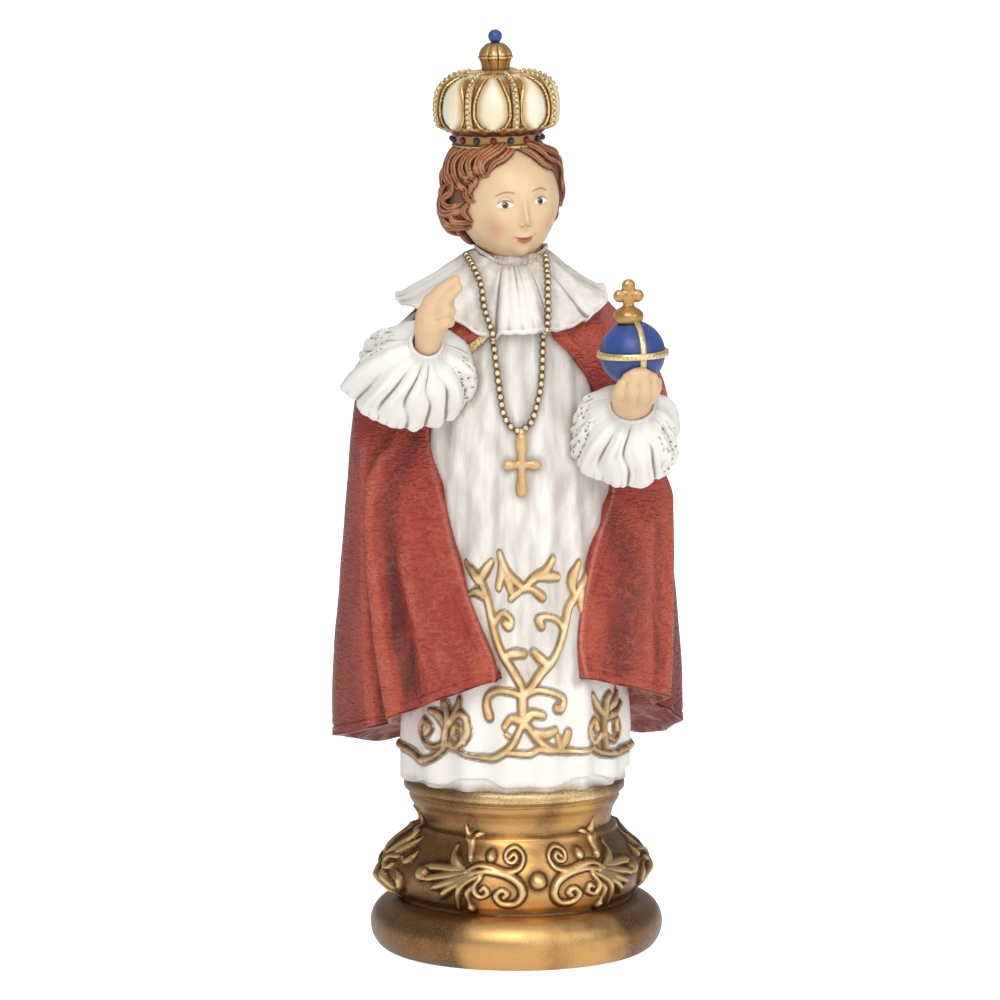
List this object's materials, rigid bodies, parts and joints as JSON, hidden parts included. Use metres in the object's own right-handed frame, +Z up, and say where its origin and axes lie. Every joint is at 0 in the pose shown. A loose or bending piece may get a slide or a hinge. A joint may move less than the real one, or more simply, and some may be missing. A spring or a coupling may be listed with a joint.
{
  "type": "statue",
  "caption": "Small painted statue of a crowned child in a long red cape and white robe, holding an orb and blessing, on a round gilded plinth; stands on a shelf",
  "frame": {"origin": "centre of the flat underside of the plinth", "axes": "+Z up, the figure faces -Y, +X to its left hand, which holds the orb"},
  "size_m": [0.0785, 0.0737, 0.2],
  "materials": {
    "paint": "satin",
    "gilding": "satin"
  },
  "bodies": {
    "root": {"plinth": "gilding", "figure": "paint"}
  },
  "joints": []
}
